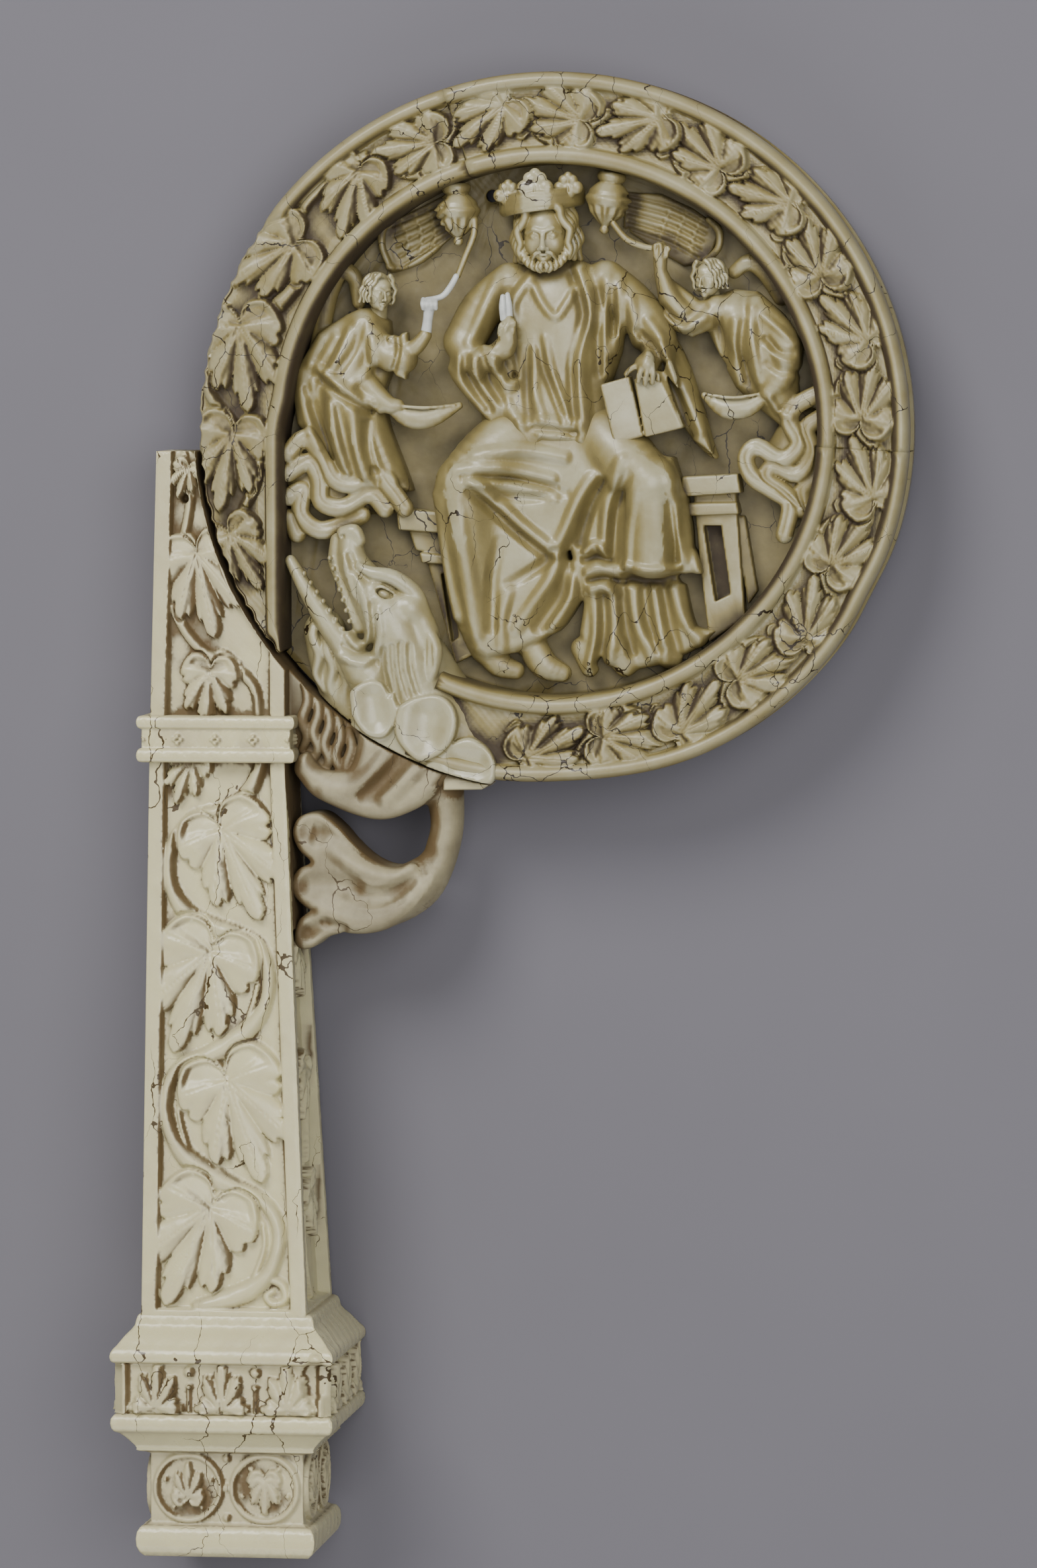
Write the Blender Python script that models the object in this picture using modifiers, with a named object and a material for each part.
"""Carved ivory crosier head, lying on its back.

The volute is a round slab with a vine border, a sunk field with a seated crowned figure and two
angels, and a dragon whose neck crosses the joint. The shaft carries the collar, the neck, a curled
leaf and the moulded base. Three small old repairs are pieces of their own.

X runs across, Y runs up the shaft from the centre of the foot, Z comes forward from the middle of
the thickness. All sizes here are millimetres until they are scaled by MM.
"""
import math

import bmesh
import bpy
from mathutils import Matrix, Vector

MM = 0.001

# Driving dimensions of the volute
DISC_X = 60.7
DISC_Y = 212.3
DISC_RADIUS = 66.9
DISC_THICKNESS = 18.0
BORDER_DEPTH = 2.8
FIELD_DEPTH = 12.0
BACK_FIELD_DEPTH = 3.6
RING_RADIUS = 51.5
RING_WIDTH = 3.6
RIM_WIDTH = 3.2
STRIP_WIDTH = 3.5
STRIP_X = 8.1
FIGURE_HEIGHT = 95.0

# Driving dimensions of the shaft
SHAFT_FOOT_Y = 46.0
SHAFT_TOP_Y = 208.4
SHAFT_LEFT_FOOT = -15.9
SHAFT_LEFT_COLLAR = -15.5
SHAFT_LEFT_TOP = -14.0
SHAFT_RIGHT_FOOT = 15.4
SHAFT_RIGHT_COLLAR = 10.3
SHAFT_DEPTH_FOOT = 33.0
SHAFT_DEPTH_COLLAR = 17.0
SHAFT_STRIP = 3.0
PANEL_DEPTH = 2.2
PANEL_END = 1.2
COLLAR_Y = 149.8
COLLAR_HEIGHT = 8.8
COLLAR_PROUD = 1.9

# Driving dimensions of the base
PLINTH_WIDTH = 42.6
PLINTH_BOTTOM = 23.6
PLINTH_TOP = 39.2
LEAF_BAND_BOTTOM = 27.6
LEAF_BAND_TOP = 37.4
LEAF_BAND_SUNK = 1.6
DIE_WIDTH = 30.8
DIE_BOTTOM = 6.0
DIE_TOP = 20.2
FOOT_WIDTH = 34.2

# Driving dimensions of the carving
LEAF_HEIGHT = 2.1
STEM_RADIUS = 0.95
JOINT_GAP = 0.3
CRACK_RADIUS = 67.3
SLIVER_LEFT = 39.9
SLIVER_RIGHT = 49.4
SLIVER_THIN = 0.95
SLIVER_TALL = 12.0
SLIVER_DEPTH = 13.0
JOINT_FROM = 174.0
JOINT_TO = 264.0
ARC_STEP = 3.0
VOXEL = 0.45
VOXEL_WAX = 0.22
VOLUTE_TRIANGLES = 5750
SHAFT_TRIANGLES = 3450

HALF = DISC_THICKNESS / 2
BORDER_FLOOR = HALF - BORDER_DEPTH
FIELD_FLOOR = HALF - FIELD_DEPTH
BACK_FIELD = -HALF + BACK_FIELD_DEPTH
LEAF_MID_RADIUS = (RING_RADIUS + RING_WIDTH / 2 + DISC_RADIUS - RIM_WIDTH) / 2
BORDER_WIDTH = DISC_RADIUS - RIM_WIDTH - RING_RADIUS - RING_WIDTH / 2
SHARE = FIGURE_HEIGHT / 95.0
JOINT_RADIUS = CRACK_RADIUS + JOINT_GAP
CUT_REACH = PLINTH_WIDTH
SLIVER_BOTTOM = DISC_Y - math.sqrt(JOINT_RADIUS ** 2 - (SLIVER_RIGHT - DISC_X) ** 2) - SLIVER_THIN


def start():
    """Empty the scene and make one collection for the parts and one for the cutters."""
    for obj in list(bpy.data.objects):
        bpy.data.objects.remove(obj, do_unlink=True)
    made = []
    for name in ("crosier_head", "cutters"):
        group = bpy.data.collections.new(name)
        bpy.context.scene.collection.children.link(group)
        made.append(group)
    return made


PARTS, CUTTERS = start()


def ivory(name, colour, roughness):
    """Return a plain Principled material."""
    material = bpy.data.materials.new(name)
    material.use_nodes = True
    shader = material.node_tree.nodes["Principled BSDF"]
    shader.inputs["Base Color"].default_value = (*colour, 1.0)
    shader.inputs["Roughness"].default_value = roughness
    shader.inputs["Metallic"].default_value = 0.0
    return material


def add_object(name, mesh, group):
    """Link a mesh as a named object."""
    obj = bpy.data.objects.new(name, mesh)
    group.objects.link(obj)
    if group is CUTTERS:
        obj.hide_render = True
        obj.display_type = "WIRE"
    return obj


def baked(obj):
    """Return the object's evaluated mesh in world space and remove the object."""
    graph = bpy.context.evaluated_depsgraph_get()
    mesh = bpy.data.meshes.new_from_object(obj.evaluated_get(graph))
    mesh.transform(obj.matrix_world)
    bpy.data.objects.remove(obj, do_unlink=True)
    return mesh


def welded(mesh):
    """Weld a mesh's caps and seams and turn its faces outwards."""
    work = bmesh.new()
    work.from_mesh(mesh)
    bmesh.ops.remove_doubles(work, verts=work.verts, dist=0.000001)
    bmesh.ops.recalc_face_normals(work, faces=work.faces)
    work.to_mesh(mesh)
    work.free()
    return mesh


def tube(points, squash=1.0, sides=2):
    """A round limb through points (x, y, z, radius), flattened in z by squash."""
    mean = sum(point[2] for point in points) / len(points)
    curve = bpy.data.curves.new("tube", "CURVE")
    curve.dimensions = "3D"
    curve.bevel_depth = MM
    curve.bevel_resolution = sides
    curve.use_fill_caps = True
    spline = curve.splines.new("POLY")
    spline.points.add(len(points) - 1)
    for knot, (x, y, z, radius) in zip(spline.points, points):
        knot.co = (x * MM, y * MM, (mean + (z - mean) / squash) * MM, 1.0)
        knot.radius = radius
    mesh = welded(baked(add_object("tube", curve, CUTTERS)))
    mesh.transform(
        Matrix.Translation((0, 0, mean * MM))
        @ Matrix.Diagonal((1, 1, squash, 1))
        @ Matrix.Translation((0, 0, -mean * MM))
    )
    return mesh


def smooth_tube(points, squash=1.0, sides=2, step=3):
    """A limb on a smooth curve through its points, by Catmull-Rom steps."""
    ends = [points[0]] + list(points) + [points[-1]]
    path = []
    for a, b, c, d in zip(ends, ends[1:], ends[2:], ends[3:]):
        for i in range(step):
            t = i / step
            path.append(tuple(
                0.5 * (2 * q + (r - p) * t + (2 * p - 5 * q + 4 * r - s) * t * t
                       + (3 * q - p - 3 * r + s) * t ** 3)
                for p, q, r, s in zip(a, b, c, d)
            ))
    path.append(tuple(points[-1]))
    return tube(path, squash, sides)


def ball(x, y, z, rx, ry, rz, turn=0.0):
    """An ellipsoid, turned in the plane by an angle in degrees."""
    work = bmesh.new()
    bmesh.ops.create_uvsphere(work, u_segments=14, v_segments=9, radius=1.0)
    mesh = bpy.data.meshes.new("ball")
    work.to_mesh(mesh)
    work.free()
    mesh.transform(
        Matrix.Translation(Vector((x, y, z)) * MM)
        @ Matrix.Rotation(math.radians(turn), 4, "Z")
        @ Matrix.Diagonal((rx * MM, ry * MM, rz * MM, 1))
    )
    return mesh


def block(x0, x1, y0, y1, z0, z1, turn=0.0):
    """A box between two corners, turned in the plane about its centre."""
    work = bmesh.new()
    bmesh.ops.create_cube(work, size=1.0)
    mesh = bpy.data.meshes.new("block")
    work.to_mesh(mesh)
    work.free()
    centre = Vector(((x0 + x1) / 2, (y0 + y1) / 2, (z0 + z1) / 2)) * MM
    mesh.transform(
        Matrix.Translation(centre)
        @ Matrix.Rotation(math.radians(turn), 4, "Z")
        @ Matrix.Diagonal(((x1 - x0) * MM, (y1 - y0) * MM, (z1 - z0) * MM, 1))
    )
    return mesh


def taper(low, high):
    """A box whose two ends differ: each end is (y, x0, x1, z0, z1)."""
    mesh = block(-0.5, 0.5, -0.5, 0.5, -0.5, 0.5)
    for vertex in mesh.vertices:
        right = vertex.co.x > 0
        front = vertex.co.z > 0
        y, x0, x1, z0, z1 = high if vertex.co.y > 0 else low
        vertex.co = Vector((x1 if right else x0, y, z1 if front else z0)) * MM
    return mesh


def plate(outline, z0, z1):
    """A flat outline filled and extruded between two heights."""
    curve = bpy.data.curves.new("plate", "CURVE")
    curve.dimensions = "2D"
    curve.fill_mode = "BOTH"
    curve.extrude = (z1 - z0) / 2 * MM
    spline = curve.splines.new("POLY")
    spline.points.add(len(outline) - 1)
    spline.use_cyclic_u = True
    for knot, (x, y) in zip(spline.points, outline):
        knot.co = (x * MM, y * MM, 0.0, 1.0)
    mesh = welded(baked(add_object("plate", curve, CUTTERS)))
    mesh.transform(Matrix.Translation((0, 0, (z0 + z1) / 2 * MM)))
    return mesh


def turned(profile, steps, quarter=0.0):
    """A profile (radius, height) turned about Y; four steps give a square block."""
    mesh = bpy.data.meshes.new("turned")
    points = [(radius * MM, 0.0, height * MM) for radius, height in profile]
    mesh.from_pydata(points, [(i, i + 1) for i in range(len(points) - 1)], [])
    obj = add_object("turned", mesh, CUTTERS)
    screw = obj.modifiers.new("screw", "SCREW")
    screw.steps = steps
    screw.render_steps = steps
    screw.use_merge_vertices = True
    screw.merge_threshold = 0.00002
    made = welded(baked(obj))
    made.transform(Matrix.Rotation(math.radians(-90), 4, "X") @ Matrix.Rotation(quarter, 4, "Z"))
    return made


def moved(mesh, x=0.0, y=0.0, z=0.0):
    """Shift a mesh by millimetres."""
    mesh.transform(Matrix.Translation(Vector((x, y, z)) * MM))
    return mesh


def joined(meshes):
    """Put several meshes into one."""
    work = bmesh.new()
    for mesh in meshes:
        work.from_mesh(mesh)
        bpy.data.meshes.remove(mesh)
    made = bpy.data.meshes.new("joined")
    work.to_mesh(made)
    work.free()
    return made


def outer_shell(mesh):
    """Drop the small sealed pockets that merging leaves inside, keeping the largest shell."""
    work = bmesh.new()
    work.from_mesh(mesh)
    unseen = set(work.verts)
    shells = []
    while unseen:
        front = [unseen.pop()]
        shell = list(front)
        while front:
            vertex = front.pop()
            for edge in vertex.link_edges:
                other = edge.other_vert(vertex)
                if other in unseen:
                    unseen.discard(other)
                    front.append(other)
                    shell.append(other)
        shells.append(shell)
    shells.sort(key=len)
    for shell in shells[:-1]:
        bmesh.ops.delete(work, geom=shell, context="VERTS")
    work.to_mesh(mesh)
    work.free()
    return mesh


def melted(meshes, voxel, triangles):
    """Merge overlapping forms into one skin with about that many triangles."""
    obj = add_object("melted", joined(meshes), CUTTERS)
    remesh = obj.modifiers.new("remesh", "REMESH")
    remesh.mode = "VOXEL"
    remesh.voxel_size = voxel * MM
    skin = outer_shell(baked(obj))
    skin.calc_loop_triangles()
    obj = add_object("skin", skin, CUTTERS)
    decimate = obj.modifiers.new("decimate", "DECIMATE")
    decimate.ratio = min(1.0, triangles / max(1, len(skin.loop_triangles)))
    return outer_shell(baked(obj))


def combined(base, others, operation):
    """Boolean a mesh with each of the others in turn."""
    for other in others:
        obj = add_object("base", base, CUTTERS)
        tool = add_object("tool", other, CUTTERS)
        cut = obj.modifiers.new("cut", "BOOLEAN")
        cut.operation = operation
        cut.solver = "EXACT"
        cut.object = tool
        base = baked(obj)
        bpy.data.objects.remove(tool, do_unlink=True)
    return base


def arc(radius, start, end, count):
    """Points on a circle about the origin, angles in degrees."""
    angles = [math.radians(start + (end - start) * i / count) for i in range(count + 1)]
    return [(radius * math.cos(angle), radius * math.sin(angle)) for angle in angles]


def ring_tube(radius, start, end, z, width, height, count):
    """A half-round moulding bent along an arc of the disc."""
    points = [(x, y, z, width / 2) for x, y in arc(radius, start, end, count)]
    return tube(points, squash=height / (width / 2), sides=1)


def bent(mesh, place):
    """Move each vertex from band coordinates (along, across, up) to its place."""
    for vertex in mesh.vertices:
        along, across, up = vertex.co / MM
        vertex.co = Vector(place(along, across, up)) * MM
    return mesh


def leaf(along, across, heading, length, height=LEAF_HEIGHT):
    """A five-lobed vine leaf: tapered ridges fan out from the end of the stalk."""
    lobes = ((0, 1.0), (42, 0.86), (-42, 0.86), (98, 0.56), (-98, 0.56))
    made = []
    for turn, reach in lobes:
        angle = math.radians(heading + turn)
        points = []
        for share, wide in ((0.0, 0.1), (0.3, 0.17), (0.62, 0.19), (0.85, 0.11), (1.0, 0.03)):
            run = share * reach * length
            points.append((
                along + run * math.cos(angle),
                across + run * math.sin(angle),
                0.1 * height,
                wide * length,
            ))
        made.append(tube(points, squash=0.9 * height / (0.19 * length), sides=1))
    return made


def vine(stations, end, stem=STEM_RADIUS):
    """A waving stem with one leaf in each bay.

    Each station is (along, across, side, length, swing): the stem bulges by the swing on the
    side away from the leaf's tip, and the leaf hangs from the crossing before it.
    """
    made = []
    path = []
    following = list(stations[1:]) + [(end, stations[-1][1], 0, 0, 0)]
    for (s0, t0, side, length, swing), (s1, t1, *_rest) in zip(stations, following):
        made += leaf(s0 + 0.08 * length, t0, 20 * side, length)
        for i in range(6):
            share = i / 6
            path.append((
                s0 + (s1 - s0) * share,
                t0 + (t1 - t0) * share - side * swing * math.sin(math.pi * share),
                0.5 * stem,
                stem,
            ))
    path.append((end, path[-1][1], 0.5 * stem, stem))
    made.append(tube(path, sides=1))
    return made


def border_stations():
    """Leaf stations round the disc: even pitch, opening out on the left."""
    first = -94.9
    pitch = 13.76
    even = 16
    opening = 1.74
    made = []
    angle = first
    for index in range(even + 5):
        wide = min(1.0, max(0.0, (angle - 112.0) / 60.0))
        length = BORDER_WIDTH * (0.86 + 0.3 * wide)
        swing = BORDER_WIDTH * (0.36 + 0.12 * wide)
        side = -1 if index % 2 else 1
        made.append((math.radians(angle) * LEAF_MID_RADIUS, 2.2 * wide, side, length, swing))
        angle += pitch + opening * max(0, index - even + 2)
    return made


def on_front(along, across, up):
    """Band coordinates to the disc's front border."""
    angle = along / LEAF_MID_RADIUS
    radius = LEAF_MID_RADIUS + across
    return radius * math.cos(angle), radius * math.sin(angle), BORDER_FLOOR + up


def on_back(along, across, up):
    """Band coordinates to the disc's back border."""
    x, y, z = on_front(along, across, up)
    return x, y, -z


def field_outline():
    """The sunk field: a circle that opens to a straight strip above the dragon."""
    radius = RING_RADIUS - RING_WIDTH / 2
    strip = STRIP_X - DISC_X + STRIP_WIDTH / 2
    outline = arc(radius, 180.0, -115.0, 44)
    outline += arc(DISC_RADIUS + 4.0, -115.0, -138.0, 3)
    outline.append((strip, -math.sqrt((DISC_RADIUS + 4.0) ** 2 - strip ** 2)))
    outline.append((strip, -1.0))
    return outline


def seated_figure():
    """The crowned seated figure: body, limbs, drapery, head and book."""
    made = [
        ball(0.0, 18.0, 1.5, 12.0, 15.0, 6.5),
        ball(-1.0, 3.0, 2.0, 13.0, 9.0, 6.5),
        smooth_tube([(-9.5, 27, 2, 4), (-15, 20, 3, 4.4), (-19, 11.5, 4, 3.4), (-14, 13, 6, 2.9),
                     (-8.2, 17, 8, 1.9)]),
        smooth_tube([(-18, 10.5, 5, 2), (-13, 8, 6, 2.8), (-8, 8, 7, 1.6)]),
        ball(-8.2, 18.2, 8.0, 1.8, 2.2, 1.6),
        smooth_tube([(10, 28, 2, 4), (16.5, 21, 3, 4.2), (20.5, 14, 5, 2.8), (17, 11.5, 9.5, 1.8)]),
        smooth_tube([(14, 25, 1, 3.4), (22, 13, 2, 3.4), (26, 3, 2, 2.8), (29.6, -4.5, 1, 0.7)]),
        smooth_tube([(-5, 30, 5, 1), (-8, 22, 6.5, 1.5), (-5.5, 8, 7, 1.2)], sides=1),
        smooth_tube([(7, 31, 4.5, 1.4), (9.5, 20, 6.5, 1.9), (8.5, 6, 8, 1.6), (7.5, -8, 10, 1.3)]),
        block(9.6, 18.2, -1.6, 10.2, 6.2, 9.8, turn=-15),
        block(15.8, 24.2, -0.4, 12.0, 5.2, 9.0, turn=-18),
    ]
    made += [
        smooth_tube([(-7, -1, 4, 6), (-17, -8.5, 6.5, 5.4), (-17.2, -20, 5, 5), (-13, -36, 2, 4.6)]),
        smooth_tube([(8, -2, 4, 6), (18.2, -8.8, 7, 5.2), (19, -18, 5.5, 4.9), (19.2, -25, 4.5, 4.4)]),
        smooth_tube([(18, -20, 2, 6), (17.5, -42, 0, 5.2)]),
        smooth_tube([(2, -6, 3, 7), (4, -22, 2, 7.5), (-1, -36, 0.5, 6.5)]),
        smooth_tube([(-14, -22, 2, 7), (-4, -38, 0, 6.5)]),
        smooth_tube([(9, -20, 1, 6), (9, -42, -1, 5)]),
        smooth_tube([(-18, 0, 6, 1.5), (-6, -4, 9, 1.8), (4, -2.5, 9, 1.6), (13, -3.5, 8, 1.4)]),
        smooth_tube([(-19, -5, 9, 1), (-8, -9, 10.5, 1.4), (1, -16, 9, 1.5), (1, -24, 8, 1.2)]),
        smooth_tube([(-13, -12, 10.5, 1), (-3, -22, 8.5, 1.4), (-12, -40, 5, 1.2)]),
        smooth_tube([(12, -5, 9.5, 1.2), (9, -16, 9, 1.5), (7.5, -26, 7, 1.6), (3, -31, 6, 1.6)]),
        smooth_tube([(14, -12, 11, 1), (14.5, -24, 8.5, 1.5)], sides=1),
        smooth_tube([(23, -11, 8, 1.2), (25, -20, 6, 1.3), (27, -26, 4, 1)], sides=1),
    ]
    made += [ball(x, y, 1.5, 2.2, 3.2, 2.6) for x, y in ((-11, -45), (-2, -45.6), (14.8, -43.6), (21, -43))]
    made += seated_head()
    return made


def seated_head():
    """Head with hair, short beard and an open crown of leaves."""
    crown_turn = 7.0
    made = [
        ball(-1.4, 36.6, 4.6, 4.7, 6.2, 5.0),
        ball(-1.5, 33.0, 5.6, 3.6, 3.8, 3.8),
        ball(-1.5, 36.6, 9.4, 0.9, 1.7, 1.2),
        ball(-1.2, 31.0, 4.2, 3.2, 3.0, 3.0),
        smooth_tube([(-5.0, 41, 4, 2.6), (-7.4, 36.5, 4, 2.5), (-7.6, 32, 3.5, 1.7)]),
        smooth_tube([(2.6, 41.5, 4, 2.6), (4.6, 37, 4, 2.5), (4.6, 32.6, 3.5, 1.7)]),
        block(-10.2, 4.6, 41.4, 44.2, 0.0, 9.4, turn=crown_turn),
    ]
    for step in (-2, -1, 0, 1, 2):
        angle = math.radians(90 + crown_turn)
        lift = 4.2 if step % 2 == 0 else 2.8
        x = -2.8 + 3.2 * step * math.cos(math.radians(crown_turn)) + lift * 0.5 * math.cos(angle)
        y = 43.4 + 3.2 * step * math.sin(math.radians(crown_turn)) + lift * 0.5
        z = 8.0 - 0.9 * step * step
        made.append(ball(x, y, z, 1.5, lift * 0.62, 1.2, turn=crown_turn))
    return made


def throne():
    """The bench at both sides of the figure, with its seat, moulding and tall panels."""
    made = []
    for left, right, top, foot in ((25.0, 33.3, -5.6, -34.0), (-28.9, -20.6, -17.4, -42.0)):
        seat = 3.4
        made.append(block(left, right, top - seat, top, -4.0, 3.4))
        made.append(block(left + 0.6, right - 0.6, top - 9.8, top - 8.2, -4.0, 2.2))
        made.append(block(left + 1.2, right - 1.8, foot, top - 2.0, -4.0, 0.6))
        made.append(block(right - 2.0, right + 0.8, foot, top - 9.0, -4.0, 1.8))
        made.append(block(left, left + 1.8, foot, top - 9.0, -4.0, 1.8))
    return made


def left_angel():
    """The angel on the left: body, arms, wings, swinging censer, incense boat and cloud."""
    made = [
        smooth_tube([(-36.5, 19, 2.5, 4.2), (-40, 9, 3, 5.6), (-38.5, -3, 3, 6.6)]),
        smooth_tube([(-42.5, 16, 1, 3), (-46, 6, 1, 3), (-45, -1, 2, 3)]),
        smooth_tube([(-36, 9, 4, 3), (-33, 0, 4.5, 4), (-31, -9, 4, 3.6)]),
        ball(-33.2, 26.0, 3.5, 3.0, 3.5, 3.3),
        ball(-35.0, 27.0, 2.5, 3.2, 3.4, 3.2),
        smooth_tube([(-34, 19, 4, 2.6), (-27.4, 11, 5, 2.9), (-24.6, 16.4, 5.5, 1.7)]),
        smooth_tube([(-36, 8, 4, 2), (-31, 4.4, 5, 1.6), (-29, 4.6, 5, 1.3)]),
        smooth_tube([(-31, 4.6, 4, 1.2), (-24.5, 2.6, 4, 2.3), (-18, 4.4, 4, 0.9)], squash=0.8),
        smooth_tube([(-37, 25, 0, 1.2), (-40.5, 29.5, 0, 2.4), (-43.5, 22, -0.5, 2.2), (-46, 14, -1, 1)]),
        plate([(-33.8, 39), (-32.6, 31.5), (-26, 30.5), (-20, 35), (-20.5, 44.2), (-27, 43)], -4.0, 0.4),
        ball(-18.3, 41.0, 4.6, 4.3, 3.6, 4.0),
        ball(-18.3, 38.2, 4.4, 2.8, 3.0, 2.8),
        ball(-18.6, 45.2, 4.4, 1.8, 1.8, 1.8),
        smooth_tube([(-17.2, 31.5, 4.6, 0.6), (-15.6, 35, 4.8, 0.6), (-15.4, 39, 4.8, 0.6)], sides=1),
        block(-20.6, -15.8, 37.0, 44.0, -4.0, 2.0),
    ]
    ribbons = (
        [(-50, -4.4), (-47.2, -1.6), (-44.1, -4.4), (-41.6, -9.2), (-33.8, -8.1), (-30.8, -11),
         (-28.2, -14.6)],
        [(-50, -8.1), (-46.5, -6), (-44.5, -9.4), (-44.1, -13.5), (-42, -16), (-35, -12.6), (-32, -14.8)],
        [(-50, -12.6), (-47.8, -11.4), (-48.2, -16), (-46, -18.9), (-41.6, -18)],
    )
    for index, ribbon in enumerate(ribbons):
        made.append(smooth_tube([(x, y, 4.6 - index, 1.5) for x, y in ribbon], sides=1))
    made.append(smooth_tube([(-49, -7, 0, 4), (-42, -10, 0, 5), (-33, -11, 0, 4)]))
    return made


def right_angel():
    """The angel on the right, turned inwards, with censer, boat and cloud."""
    made = [
        smooth_tube([(34, 22.5, 2.5, 4.6), (40, 14, 3, 6), (42.5, 5, 3, 5)]),
        smooth_tube([(38, 24, 3, 3.4), (44, 17, 4, 3.2), (42.8, 10, 5, 2.8), (38.6, 6.5, 5.5, 1.8)]),
        ball(29.0, 28.6, 3.6, 2.9, 3.4, 3.2),
        ball(30.4, 29.6, 2.6, 3.2, 3.4, 3.2),
        smooth_tube([(30, 22, 3, 3.2), (24.5, 24.5, 4, 3.0), (20.6, 31.5, 5, 1.4)]),
        smooth_tube([(30, 18, 1, 4), (35, 8, 1, 4.4), (40, 0, 1, 3.6)]),
        ball(20.2, 33.2, 5.0, 1.6, 2.0, 1.5),
        smooth_tube([(28.5, 6.8, 4, 0.9), (33.5, 4.0, 4, 2.3), (39, 5.8, 4, 1.5)], squash=0.8),
        smooth_tube([(36, 30, 0, 1.4), (39.4, 29.6, 0, 2.3), (43, 22, 0, 2)]),
        plate([(13.5, 45), (24, 43.4), (30, 38), (27.8, 31.5), (20, 32.6), (12.5, 37)], -4.0, 0.4),
        ball(10.4, 43.4, 4.6, 4.2, 3.6, 4.0),
        ball(10.6, 40.8, 4.4, 2.8, 3.0, 2.8),
        ball(9.8, 47.2, 4.4, 1.8, 1.6, 1.8),
        smooth_tube([(10.8, 39, 4.6, 0.7), (14, 36, 4.8, 0.7), (19.8, 34, 5, 0.7)], sides=1),
        block(8.0, 13.0, 40.0, 46.0, -4.0, 2.0),
    ]
    ribbons = (
        [(49.8, 5.5), (44.4, 3.5), (45.2, -1.4), (44, -5), (37.4, -3.2), (35.9, -7.9), (40, -11.4),
         (46, -14.6)],
        [(49.8, 0), (47.6, -3), (49, -7), (44, -10.5), (40, -8)],
        [(48.6, -10), (46.4, -14), (44, -19.6)],
    )
    for index, ribbon in enumerate(ribbons):
        made.append(smooth_tube([(x, y, 4.6 - index, 1.5) for x, y in ribbon], sides=1))
    made.append(smooth_tube([(44, 0, 0, 4.6), (42, -8, 0, 4.6), (45, -15, 0, 2.6)]))
    return made


def dragon_head():
    """The dragon's head, open-mouthed, with its crest, ear, throat locks and leaf collar."""
    made = [
        smooth_tube([(-37.5, -22, 5, 3.0), (-35.5, -28, 5.5, 3.6), (-31, -35, 5, 5.4), (-27, -43, 4, 6.6),
                     (-22, -52, 2, 8), (-15, -60, 1, 7)]),
        smooth_tube([(-40.6, -20.6, 5, 2.2), (-38.6, -20, 6, 2.0), (-38, -26, 6, 2.2)]),
        smooth_tube([(-49.6, -25, 4, 1.2), (-46, -30, 4.6, 2.0), (-40.5, -38, 5, 2.6), (-34, -45, 4, 5)]),
        smooth_tube([(-37, -26, 8, 1.1), (-33.5, -27.4, 9, 1.4), (-29, -28.2, 8.4, 1.6),
                     (-24, -34, 6.5, 1.6)]),
        ball(-31.6, -30.6, 9.4, 1.7, 1.3, 1.2),
        smooth_tube([(-25.4, -35, 7.5, 1.8), (-22.8, -41, 7.5, 1.9), (-23.4, -48, 6.5, 1.0)]),
        smooth_tube([(-41, -38, 3, 3), (-43, -44, 2, 3), (-40, -52, 0, 4)]),
        smooth_tube([(-36, -45, 3, 5), (-33, -52, 2, 5.5), (-30, -56, 0, 6)]),
    ]
    for index in range(4):
        x = -44.5 + 3.0 * index
        made.append(smooth_tube([(x, -38 - 2 * index, 5.6, 0.8), (x - 1, -43 - 2 * index, 5, 1.1),
                                 (x + 0.8, -49 - 2 * index, 3.6, 0.7)], sides=1))
    petals = ((-33.1, -51.3, 4.8, 5.4, 15), (-23.1, -55.4, 5.6, 6.3, -12), (-15.4, -62, 4.4, 6.0, -62))
    for x, y, rx, ry, turn in petals:
        made.append(ball(x, y, 7.8, rx, ry, 2.2, turn=turn))
        made.append(ball(x, y - 2, 3.0, rx * 0.8, ry * 0.8, 4.0, turn=turn))
    return made


def figures():
    """All the figures of the field, as tall as FIGURE_HEIGHT, cut off flat inside the plate."""
    skin = joined(seated_figure() + throne() + left_angel() + right_angel() + dragon_head())
    for vertex in skin.vertices:
        vertex.co.x *= SHARE
        vertex.co.y *= SHARE
        vertex.co.z = max(vertex.co.z, (FIELD_FLOOR - 1.5) * MM)
    return [skin]


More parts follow.
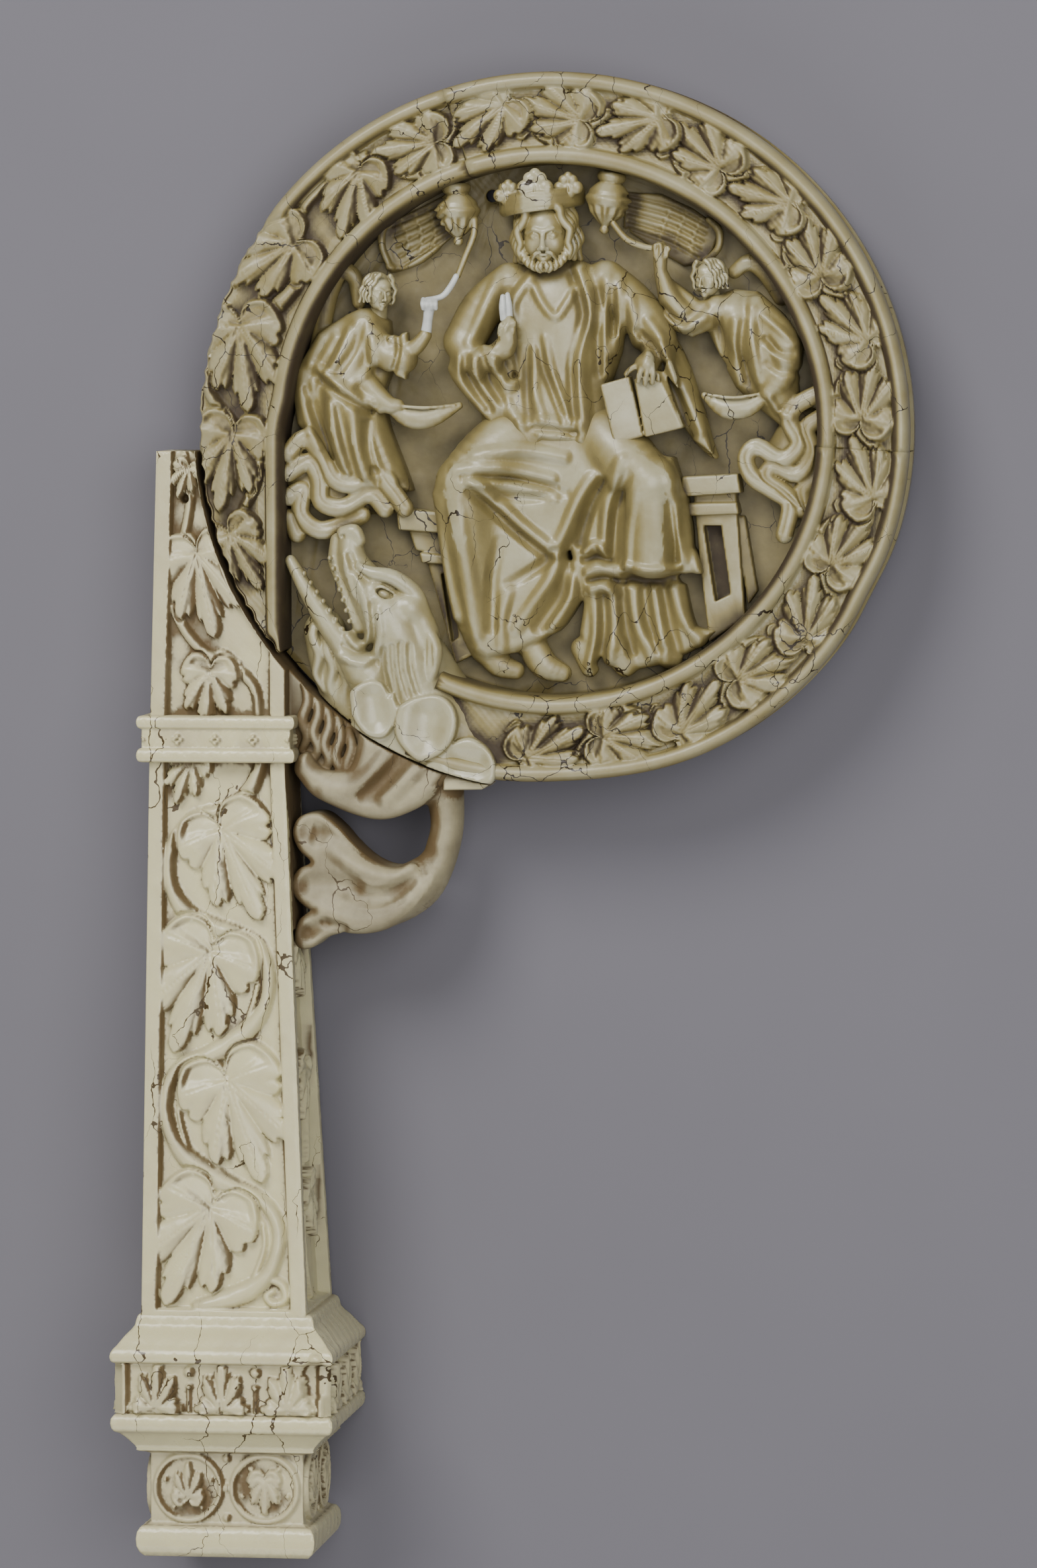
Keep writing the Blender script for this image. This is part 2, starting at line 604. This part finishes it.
def volute():
    """The disc with its border, field, figures and dragon, cut clear of the shaft's joint."""
    profile = [
        (0.0, BORDER_FLOOR),
        (DISC_RADIUS - 0.4, BORDER_FLOOR),
        (DISC_RADIUS - 0.4, HALF * 0.4),
        (DISC_RADIUS - 1.2, HALF * 0.36),
        (DISC_RADIUS - 1.2, -HALF * 0.36),
        (DISC_RADIUS - 0.4, -HALF * 0.4),
        (DISC_RADIUS - 0.4, -BORDER_FLOOR),
        (0.0, -BORDER_FLOOR),
    ]
    body = turned(profile, 72)
    body.transform(Matrix.Rotation(math.radians(90), 4, "X"))
    field = plate(field_outline(), FIELD_FLOOR, HALF + 3.0)
    back = plate(arc(RING_RADIUS - RING_WIDTH / 2, 0.0, 354.0, 59), -HALF - 3.0, BACK_FIELD)
    body = combined(body, [field, back], "DIFFERENCE")

    strip = STRIP_X - DISC_X
    strip_half = STRIP_WIDTH / 2
    rim = DISC_RADIUS - RIM_WIDTH / 2
    forms = [
        body,
        ring_tube(RING_RADIUS, -114.0, 181.0, BORDER_FLOOR, RING_WIDTH, BORDER_DEPTH, 42),
        ring_tube(RING_RADIUS, 0.0, 359.0, -BORDER_FLOOR, RING_WIDTH, BORDER_DEPTH, 48),
        ring_tube(rim, -112.0, 143.0, BORDER_FLOOR, RIM_WIDTH, BORDER_DEPTH, 42),
        ring_tube(rim, -112.0, 150.0, -BORDER_FLOOR, RIM_WIDTH, BORDER_DEPTH, 42),
        tube([(strip, 0.5, BORDER_FLOOR, strip_half), (strip, -46.0, BORDER_FLOOR, strip_half)],
             squash=BORDER_DEPTH / strip_half, sides=1),
    ]
    stations = border_stations()
    end = stations[-1][0] + math.radians(20.0) * LEAF_MID_RADIUS
    forms += [bent(mesh, on_front) for mesh in vine(stations, end)]
    forms += [bent(mesh, on_back) for mesh in vine(stations, end)]
    forms += figures()
    skin = melted(forms, VOXEL, VOLUTE_TRIANGLES)

    hole = tube([(-12.6, 43.9, -20, 1.2), (-12.6, 43.9, 20, 1.2)])
    inner = arc(CRACK_RADIUS, JOINT_FROM, JOINT_TO, 40)
    outer = arc(CRACK_RADIUS + CUT_REACH / 2, JOINT_TO, JOINT_FROM, 20)
    seats = finger_forms(JOINT_GAP) + forearm_forms(JOINT_GAP)
    skin = combined(skin, [hole, plate(inner + outer, -CUT_REACH, CUT_REACH)] + seats, "DIFFERENCE")
    skin = outer_shell(skin)
    return moved(skin, DISC_X, DISC_Y)


def shaft_section(y):
    """Left, right and half depth of the shaft at a height."""
    if y <= COLLAR_Y:
        share = (y - SHAFT_FOOT_Y) / (COLLAR_Y - SHAFT_FOOT_Y)
        left = SHAFT_LEFT_FOOT + (SHAFT_LEFT_COLLAR - SHAFT_LEFT_FOOT) * share
        right = SHAFT_RIGHT_FOOT + (SHAFT_RIGHT_COLLAR - SHAFT_RIGHT_FOOT) * share
        depth = SHAFT_DEPTH_FOOT + (SHAFT_DEPTH_COLLAR - SHAFT_DEPTH_FOOT) * share
        return left, right, depth / 2
    share = (y - COLLAR_Y) / (SHAFT_TOP_Y - COLLAR_Y)
    left = SHAFT_LEFT_COLLAR + (SHAFT_LEFT_TOP - SHAFT_LEFT_COLLAR) * share
    return left, SHAFT_RIGHT_COLLAR, SHAFT_DEPTH_COLLAR / 2


def shaft_length(y0, y1):
    """A plain length of the shaft between two heights."""
    ends = []
    for y in (y0, y1):
        left, right, half = shaft_section(y)
        ends.append((y, left, right, -half, half))
    return taper(*ends)


def panel_cutter(y0, y1, face):
    """The sunk panel on one face of the shaft: front, back, left or right."""
    ends = []
    for y in (y0, y1):
        left, right, half = shaft_section(y)
        if face == "front":
            ends.append((y, left + SHAFT_STRIP, right - SHAFT_STRIP, half - PANEL_DEPTH, half + 3.0))
        elif face == "back":
            ends.append((y, left + SHAFT_STRIP, right - SHAFT_STRIP, -half - 3.0, -half + PANEL_DEPTH))
        elif face == "right":
            ends.append((y, right - PANEL_DEPTH, right + 3.0, -half + SHAFT_STRIP, half - SHAFT_STRIP))
        else:
            ends.append((y, left - 3.0, left + PANEL_DEPTH, -half + SHAFT_STRIP, half - SHAFT_STRIP))
    return taper(*ends)


def panel_place(face, top):
    """Band coordinates to a shaft face; the band runs down from the height top."""
    def place(along, across, up):
        y = top - along
        left, right, half = shaft_section(y)
        middle = (left + right) / 2
        if face == "front":
            return middle + across, y, half - PANEL_DEPTH + up
        if face == "back":
            return middle - across, y, -half + PANEL_DEPTH - up
        if face == "right":
            return right - PANEL_DEPTH + up, y, across
        return left + PANEL_DEPTH - up, y, -across
    return place


def panel_vine(face, top, bottom, bays, first_side, wide):
    """A vine down one panel: as many bays as named, growing wider towards the foot."""
    stations = []
    pitch = (top - bottom) / bays
    for index in range(bays):
        y = top - index * pitch
        left, right, half = shaft_section(y - pitch / 2)
        room = (right - left if wide else 2 * half) / 2 - SHAFT_STRIP
        side = first_side if index % 2 == 0 else -first_side
        length = min(pitch * 0.76, room * 1.75)
        stations.append((index * pitch, 0.05 * side * room, side, length, room * 0.86))
    made = vine(stations, top - bottom - 1.0, STEM_RADIUS * (1.2 if wide else 0.8))
    return [bent(mesh, panel_place(face, top)) for mesh in made]


def base_block():
    """The square base: step, cyma, plinth with its sunk leaf band, cavetto, die and foot."""
    plinth = PLINTH_WIDTH / 2
    die = DIE_WIDTH / 2
    foot = FOOT_WIDTH / 2
    neck = (SHAFT_RIGHT_FOOT - SHAFT_LEFT_FOOT) / 2 + 0.9
    middle = (PLINTH_BOTTOM + DIE_TOP) / 2
    profile = [
        (0.0, SHAFT_FOOT_Y + 1.0),
        (neck, SHAFT_FOOT_Y + 1.0),
        (neck, SHAFT_FOOT_Y - 0.6),
        (neck + 1.6, SHAFT_FOOT_Y - 2.2),
        (plinth - 1.6, PLINTH_TOP + 1.6),
        (plinth - 0.3, PLINTH_TOP + 0.4),
        (plinth, PLINTH_TOP - 0.6),
        (plinth - 0.4, LEAF_BAND_TOP),
        (plinth - LEAF_BAND_SUNK - 0.5, LEAF_BAND_TOP),
        (plinth - LEAF_BAND_SUNK - 0.5, LEAF_BAND_BOTTOM),
        (plinth - 0.5, LEAF_BAND_BOTTOM),
        (plinth - 0.1, LEAF_BAND_BOTTOM - 1.6),
        (plinth - 0.9, PLINTH_BOTTOM + 0.4),
        (plinth - 2.0, PLINTH_BOTTOM - 0.4),
        (die + 1.9, middle - 0.4),
        (die + 1.3, DIE_TOP),
        (die, DIE_TOP),
        (die, DIE_BOTTOM),
        (foot - 1.2, DIE_BOTTOM),
        (foot, DIE_BOTTOM - 1.4),
        (foot, 1.4),
        (foot - 1.2, -0.6),
        (0.0, -0.6),
    ]
    spread = [(radius * math.sqrt(2), height) for radius, height in profile]
    return turned(spread, 4, math.radians(45))


def base_leaves():
    """Leaves and beads in the plinth's band and two roundels on each side of the die."""
    made = []
    band = (LEAF_BAND_BOTTOM + LEAF_BAND_TOP) / 2
    tall = LEAF_BAND_TOP - LEAF_BAND_BOTTOM
    die_middle = (DIE_BOTTOM + DIE_TOP) / 2
    die_tall = DIE_TOP - DIE_BOTTOM
    sunk = PLINTH_WIDTH / 2 - LEAF_BAND_SUNK - 0.5
    for quarter in range(4):
        forms = []
        for step in (-1, 0, 1):
            for mesh in leaf(-tall * 0.3, step * PLINTH_WIDTH * 0.3, 0, tall * 0.62, 1.9):
                forms.append((mesh, sunk, band))
        for step in (-1.5, -0.5, 0.5, 1.5):
            forms.append((ball(tall * 0.34, step * PLINTH_WIDTH * 0.3, 0.3, 0.9, 0.9, 1.2), sunk, band))
        for side in (-1, 1):
            centre = side * DIE_WIDTH * 0.255
            for mesh in leaf(side * die_tall * 0.08, centre, 90 - 90 * side, die_tall * 0.36, 1.3):
                forms.append((mesh, DIE_WIDTH / 2, die_middle))
            circle = [(x, centre + y, 0.1, 0.62) for x, y in arc(die_tall * 0.46, 0, 360, 16)]
            forms.append((tube(circle, sides=1), DIE_WIDTH / 2, die_middle))
        for mesh, out, height in forms:
            def place(along, across, up, out=out, height=height):
                return across, height + along, out + up
            bent(mesh, place)
            mesh.transform(Matrix.Rotation(math.radians(90 * quarter), 4, "Y"))
            made.append(mesh)
    return made


def neck_and_curl():
    """The dragon's neck below the joint, its locks, and the leaf that curls back to the shaft."""
    made = [
        smooth_tube([(8, 158, 0, 5.5), (16, 154, 0, 6.5), (24, 149, 0, 7.5), (32, 147, 0, 7.5),
                     (38, 148, 0, 5.5)], squash=0.95),
        smooth_tube([(12, 151, 0, 3.5), (19, 145.5, 0, 4), (27, 143, 0, 4), (34, 144, 0, 4)], squash=1.4),
        smooth_tube([(35, 146, 0, 4), (39.2, 142, 0, 3.2), (40, 136.5, 0, 3), (38.6, 130.8, 0, 3.6),
                     (34.6, 126.2, 0, 4.4), (29, 124, 0, 5.2), (24, 124.4, 0, 5.8)], squash=1.25),
        smooth_tube([(24, 122.4, 0, 4), (18, 119.5, 0, 3.4), (12.2, 115.8, 0, 1.4)], squash=1.3),
        smooth_tube([(24, 125, 0, 4.5), (17.5, 127, 0, 4.0), (11.8, 127.2, 0, 1.8)], squash=1.3),
        smooth_tube([(23, 127, 0, 3.4), (18.5, 132, 0, 2.8), (13.6, 136.8, 0, 2.0), (12.2, 138, 0, 1.2)],
                    squash=1.6),
        smooth_tube([(33, 127.4, 5.4, 1), (27, 126.4, 6.6, 1.2), (17, 127.2, 5.6, 1)], sides=1),
    ]
    for index in range(5):
        x = 12.5 + 2.6 * index
        made.append(smooth_tube([(x, 163 - 2.5 * index, 5.8, 0.8), (x + 1.4, 158 - 2.6 * index, 6.8, 1.1),
                                 (x - 0.2, 152.5 - 2.0 * index, 6.2, 0.8)], sides=1))
    return made


def collar():
    """Two rounded bands with a hollow between them, all round the shaft."""
    left, right, half = shaft_section(COLLAR_Y)
    top = COLLAR_Y + COLLAR_HEIGHT
    band = COLLAR_HEIGHT * 0.36
    hollow = COLLAR_PROUD * 0.5
    made = [block(left - hollow, right + hollow, COLLAR_Y + 1, top - 1, -half - hollow, half + hollow)]
    for y0 in (COLLAR_Y, top - band):
        moulding = block(left - COLLAR_PROUD, right + COLLAR_PROUD, y0, y0 + band,
                         -half - COLLAR_PROUD, half + COLLAR_PROUD)
        obj = add_object("moulding", moulding, CUTTERS)
        bevel = obj.modifiers.new("bevel", "BEVEL")
        bevel.width = band * 0.42 * MM
        bevel.segments = 2
        made.append(baked(obj))
    return made


def joint_cutter():
    """The round cutter that keeps the shaft and the sliver clear of the disc."""
    circle = arc(JOINT_RADIUS, 0.0, 360.0 - ARC_STEP, round(360.0 / ARC_STEP) - 1)
    return moved(plate(circle, -CUT_REACH, CUT_REACH), DISC_X, DISC_Y)


def shaft():
    """Shaft, collar, base, neck and curled leaf as one body, cut clear of the disc."""
    collar_top = COLLAR_Y + COLLAR_HEIGHT
    bottom = SHAFT_FOOT_Y + PANEL_END
    lower = shaft_length(SHAFT_FOOT_Y, COLLAR_Y + 1.0)
    lower = combined(lower, [panel_cutter(bottom, COLLAR_Y - 0.2, face)
                             for face in ("front", "back", "left", "right")], "DIFFERENCE")
    upper = shaft_length(COLLAR_Y, SHAFT_TOP_Y)
    upper = combined(upper, [panel_cutter(collar_top, SHAFT_TOP_Y + 2.0, face)
                             for face in ("front", "back")], "DIFFERENCE")
    forms = [base_block(), lower, upper] + collar() + base_leaves() + neck_and_curl()
    forms += panel_vine("front", COLLAR_Y - 13.0, bottom, 4, 1, True)
    forms += panel_vine("front", COLLAR_Y - 0.6, COLLAR_Y - 12.0, 1, -1, True)
    forms += panel_vine("front", SHAFT_TOP_Y - 12.0, collar_top - 6.0, 3, 1, True)
    forms += panel_vine("back", COLLAR_Y - 13.0, bottom, 4, -1, True)
    forms += panel_vine("right", 112.0, bottom, 3, 1, False)
    forms += panel_vine("left", COLLAR_Y - 8.0, bottom, 5, 1, False)
    skin = melted(forms, VOXEL, SHAFT_TRIANGLES)

    under = block(-CUT_REACH, CUT_REACH, -5.0, 0.0, -CUT_REACH, CUT_REACH)
    seat = block(SLIVER_LEFT - JOINT_GAP, SLIVER_RIGHT + 10.0, SLIVER_BOTTOM - JOINT_GAP,
                 SLIVER_BOTTOM + 2 * SLIVER_TALL, -CUT_REACH, CUT_REACH)
    return combined(skin, [joint_cutter(), under, seat], "DIFFERENCE")


def repair_sliver():
    """The small ivory insert let in under the rim, beside the curled leaf's root."""
    body = block(SLIVER_LEFT, SLIVER_RIGHT, SLIVER_BOTTOM, SLIVER_BOTTOM + SLIVER_TALL,
                 -SLIVER_DEPTH / 2, SLIVER_DEPTH / 2)
    return combined(body, [joint_cutter()], "DIFFERENCE")


def finger_forms(grow=0.0):
    """Two fingers held up; grow widens them to cut their seat."""
    return [
        tube([(-8.7, 21.2, 8.4, 0.8 + grow), (-8.9, 23.4, 8.6, 0.75 + grow),
              (-9.0, 25.2 + grow, 8.4, 0.5 + grow)]),
        tube([(-7.9, 21.2, 8.0, 0.8 + grow), (-8.0, 23.4, 8.1, 0.75 + grow),
              (-8.2, 25.6 + grow, 7.9, 0.5 + grow)]),
    ]


def forearm_forms(grow=0.0):
    """Forearm, fist and the length of chain that it holds; grow widens them to cut their seat."""
    return [
        smooth_tube([(-23.4, 18.9 - grow, 6.0, 1.1 + grow), (-23.2, 21.4, 6.4, 1.0 + grow),
                     (-23.0, 23.6, 6.6, 1.3 + grow)]),
        ball(-23.0, 23.8, 6.6, 1.8 + grow, 1.3 + grow, 1.4 + grow),
        smooth_tube([(-24.0, 24.0, 6.6, 0.7 + grow), (-20.8, 25.2, 6.2, 0.7 + grow),
                     (-18.4, 28.0 + grow, 5.8, 0.6 + grow)]),
    ]


def wax_fingers():
    """Two wax fingers set on the blessing hand."""
    return moved(melted(finger_forms(), VOXEL_WAX, 100), DISC_X, DISC_Y)


def wax_forearm():
    """The wax forearm and hand of the left angel, with the chain that it holds."""
    return moved(melted(forearm_forms(), VOXEL_WAX, 170), DISC_X, DISC_Y)


def build():
    """Make every piece with its own material."""
    pieces = (
        ("volute", volute, ivory("volute_ivory", (0.58, 0.50, 0.33), 0.35)),
        ("shaft", shaft, ivory("shaft_ivory", (0.74, 0.69, 0.54), 0.35)),
        ("repair_sliver", repair_sliver, ivory("sliver_ivory", (0.70, 0.66, 0.54), 0.4)),
        ("wax_fingers", wax_fingers, ivory("finger_wax", (0.80, 0.81, 0.78), 0.3)),
        ("wax_forearm", wax_forearm, ivory("forearm_wax", (0.80, 0.81, 0.78), 0.3)),
    )
    for name, make, material in pieces:
        mesh = make()
        mesh.name = name
        mesh.materials.clear()
        mesh.materials.append(material)
        mesh.shade_smooth()
        mesh.set_sharp_from_angle(angle=math.radians(35))
        add_object(name, mesh, PARTS)


build()
